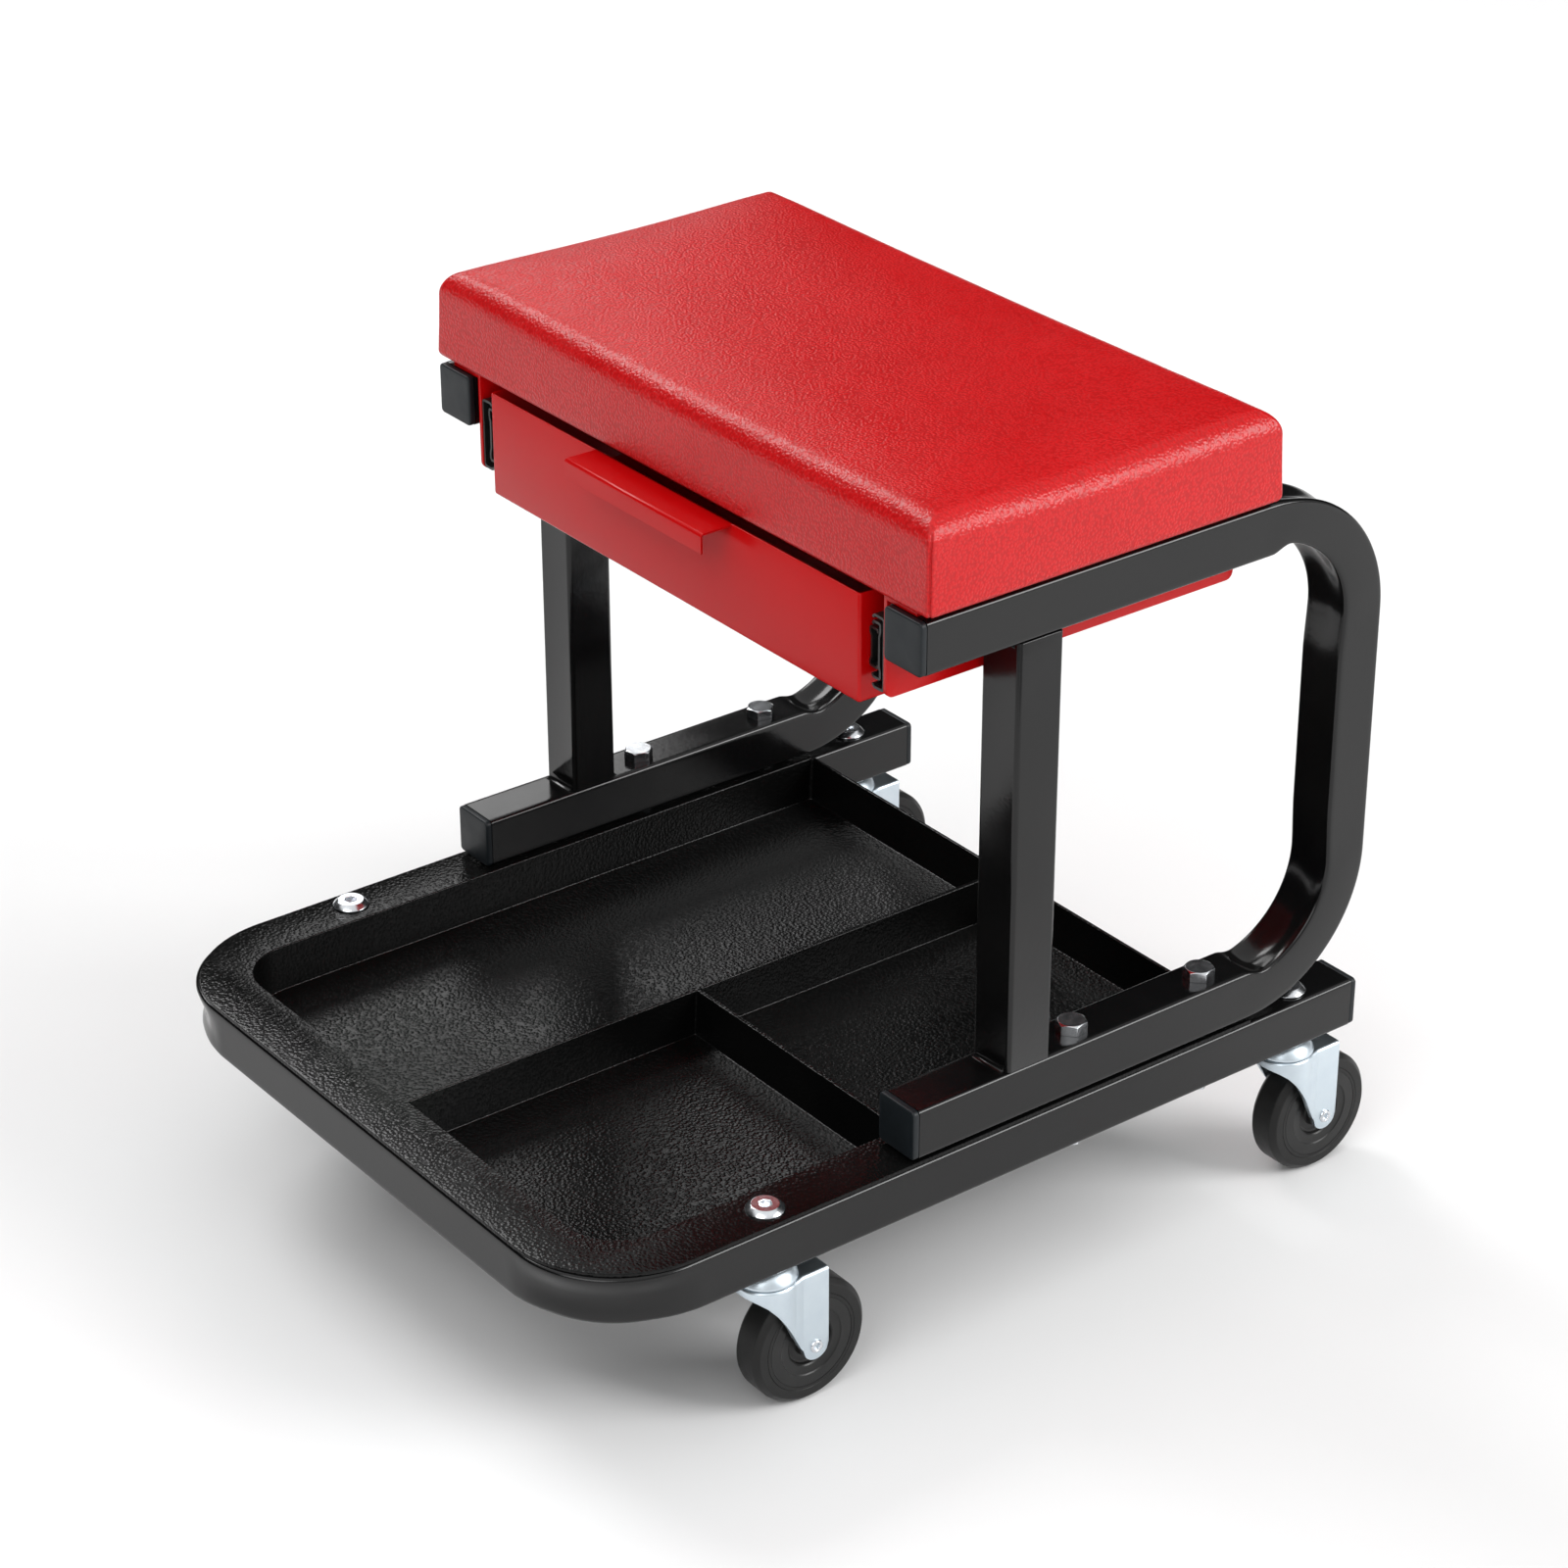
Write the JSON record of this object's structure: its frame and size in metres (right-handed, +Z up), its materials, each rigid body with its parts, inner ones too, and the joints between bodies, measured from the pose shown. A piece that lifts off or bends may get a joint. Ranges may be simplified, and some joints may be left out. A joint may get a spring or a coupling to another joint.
{
  "type": "mechanics creeper seat",
  "caption": "Low rolling work seat: box cushion on two bent-tube side frames, with a pull-out drawer under it and a divided tool tray in a U-shaped base on swivel casters.",
  "frame": {"origin": "on the floor, below the middle of the whole seat's box", "axes": "-Y is the front, where the drawer opens; +X is the right-hand side seen from the front; +Z is up"},
  "size_m": [0.368, 0.464, 0.4156],
  "materials": {
    "frame_black": "gloss black powder coat",
    "cap_plastic": "matte blue-grey moulded plastic",
    "tray_plastic": "black plastic with a pebbled grain",
    "bolt_chrome": "bright plated steel",
    "zinc_steel": "blue-white zinc plate",
    "paint_red": "semi-gloss red powder coat",
    "leather_red": "red pebbled vinyl",
    "plywood": "bare plywood",
    "slide_black": "black electrocoated steel",
    "hub_plastic": "satin black moulded plastic",
    "tyre_rubber": "hard black rubber"
  },
  "bodies": {
    "frame": {"base_frame": "frame_black", "left_base_cap": "cap_plastic", "right_base_cap": "cap_plastic", "tool_tray": "tray_plastic", "left_side_frame": "frame_black", "right_side_frame": "frame_black", "left_front_post": "frame_black", "right_front_post": "frame_black", "post_welds": "frame_black", "left_lower_cap": "cap_plastic", "right_lower_cap": "cap_plastic", "left_upper_cap": "cap_plastic", "right_upper_cap": "cap_plastic", "frame_bolts": "bolt_chrome", "frame_washers": "bolt_chrome", "frame_nuts": "bolt_chrome", "left_seat_bracket": "paint_red", "right_seat_bracket": "paint_red", "seat_board": "plywood", "seat_cushion": "leather_red", "seat_bolts": "bolt_chrome", "seat_nuts": "zinc_steel", "left_slide_outer": "slide_black", "right_slide_outer": "slide_black", "bracket_rivets": "zinc_steel", "caster_bolts": "bolt_chrome", "caster_nuts": "zinc_steel", "caster_cups": "zinc_steel", "caster_balls": "bolt_chrome"},
    "drawer": {"drawer_body": "paint_red", "drawer_front": "paint_red", "drawer_rivets": "zinc_steel", "left_slide_inner": "slide_black", "right_slide_inner": "slide_black"},
    "slide_middles": {"left_slide_middle": "slide_black", "right_slide_middle": "slide_black"},
    "outer_ball_cages": {"left_outer_ball_cage": "zinc_steel", "right_outer_ball_cage": "zinc_steel"},
    "inner_ball_cages": {"left_inner_ball_cage": "zinc_steel", "right_inner_ball_cage": "zinc_steel"},
    "front_left_swivel": {"front_left_fork": "zinc_steel", "front_left_axle": "bolt_chrome"},
    "front_left_wheel": {"front_left_hub": "hub_plastic", "front_left_tyre": "tyre_rubber"},
    "front_right_swivel": {"front_right_fork": "zinc_steel", "front_right_axle": "bolt_chrome"},
    "front_right_wheel": {"front_right_hub": "hub_plastic", "front_right_tyre": "tyre_rubber"},
    "rear_left_swivel": {"rear_left_fork": "zinc_steel", "rear_left_axle": "bolt_chrome"},
    "rear_left_wheel": {"rear_left_hub": "hub_plastic", "rear_left_tyre": "tyre_rubber"},
    "rear_right_swivel": {"rear_right_fork": "zinc_steel", "rear_right_axle": "bolt_chrome"},
    "rear_right_wheel": {"rear_right_hub": "hub_plastic", "rear_right_tyre": "tyre_rubber"}
  },
  "joints": [
    {"name": "drawer_slide", "type": "slide", "parent": "frame", "child": "drawer", "axis": [0, -1, 0], "range_m": [0, 0.18]},
    {"name": "slide_middles_travel", "type": "slide", "parent": "frame", "child": "slide_middles", "axis": [0, -1, 0], "range_m": [0, 0.09]},
    {"name": "outer_ball_cages_travel", "type": "slide", "parent": "frame", "child": "outer_ball_cages", "axis": [0, -1, 0], "range_m": [0, 0.045]},
    {"name": "inner_ball_cages_travel", "type": "slide", "parent": "frame", "child": "inner_ball_cages", "axis": [0, -1, 0], "range_m": [0, 0.135]},
    {"name": "front_left_swivel_turn", "type": "hinge", "parent": "frame", "child": "front_left_swivel", "pos_m": [-0.169, -0.129, 0.07], "axis": [0, 0, 1], "continuous": true},
    {"name": "front_left_wheel_roll", "type": "hinge", "parent": "front_left_swivel", "child": "front_left_wheel", "pos_m": [-0.169, -0.11, 0.031], "axis": [1, 0, 0], "continuous": true},
    {"name": "front_right_swivel_turn", "type": "hinge", "parent": "frame", "child": "front_right_swivel", "pos_m": [0.169, -0.129, 0.07], "axis": [0, 0, 1], "continuous": true},
    {"name": "front_right_wheel_roll", "type": "hinge", "parent": "front_right_swivel", "child": "front_right_wheel", "pos_m": [0.169, -0.11, 0.031], "axis": [1, 0, 0], "continuous": true},
    {"name": "rear_left_swivel_turn", "type": "hinge", "parent": "frame", "child": "rear_left_swivel", "pos_m": [-0.169, 0.182, 0.07], "axis": [0, 0, 1], "continuous": true},
    {"name": "rear_left_wheel_roll", "type": "hinge", "parent": "rear_left_swivel", "child": "rear_left_wheel", "pos_m": [-0.169, 0.201, 0.031], "axis": [1, 0, 0], "continuous": true},
    {"name": "rear_right_swivel_turn", "type": "hinge", "parent": "frame", "child": "rear_right_swivel", "pos_m": [0.169, 0.182, 0.07], "axis": [0, 0, 1], "continuous": true},
    {"name": "rear_right_wheel_roll", "type": "hinge", "parent": "rear_right_swivel", "child": "rear_right_wheel", "pos_m": [0.169, 0.201, 0.031], "axis": [1, 0, 0], "continuous": true}
  ],
  "couplings": [
    {"joint": "slide_middles_travel", "follows": "drawer_slide", "ratio": 0.5},
    {"joint": "outer_ball_cages_travel", "follows": "drawer_slide", "ratio": 0.25},
    {"joint": "inner_ball_cages_travel", "follows": "drawer_slide", "ratio": 0.75}
  ]
}
